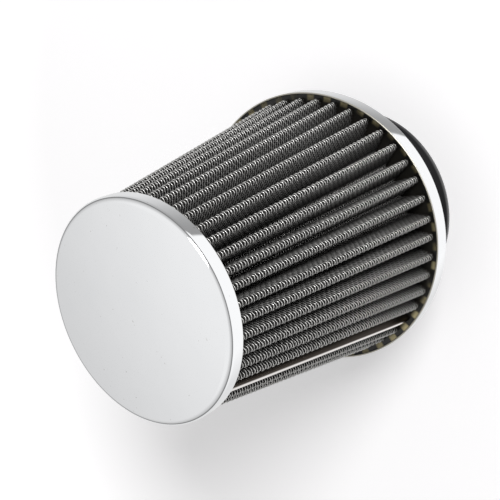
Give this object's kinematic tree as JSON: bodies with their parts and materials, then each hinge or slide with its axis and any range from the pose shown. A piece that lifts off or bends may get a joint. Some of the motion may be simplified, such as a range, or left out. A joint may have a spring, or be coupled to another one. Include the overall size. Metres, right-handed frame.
{
  "type": "conical air filter",
  "caption": "Conical clamp-on engine air filter: pleated cone faced with woven wire cloth, chromed end cap and base band, and a black rubber neck that slides over an intake pipe.",
  "frame": {"origin": "centre of the neck's mouth, which the filter stands on", "axes": "+Z along the filter's axis, from the neck to the cap; the seam strip lies at about 205 degrees from +X towards +Y"},
  "size_m": [0.13, 0.13, 0.1636],
  "materials": {
    "chrome_plate": "mirror-bright chrome plate",
    "neck_rubber": "satin moulded rubber",
    "potting": "cream cast sealing compound, slightly glossy",
    "wire_faced_cloth": "dark filter cloth faced with grey woven wire",
    "clip_metal": "bright folded strip"
  },
  "bodies": {
    "root": {"rubber_neck": "neck_rubber", "base_band": "chrome_plate", "base_potting": "potting", "pleated_cone": "wire_faced_cloth", "seam_clip": "clip_metal", "cap_potting": "potting", "end_cap": "chrome_plate"}
  },
  "joints": []
}
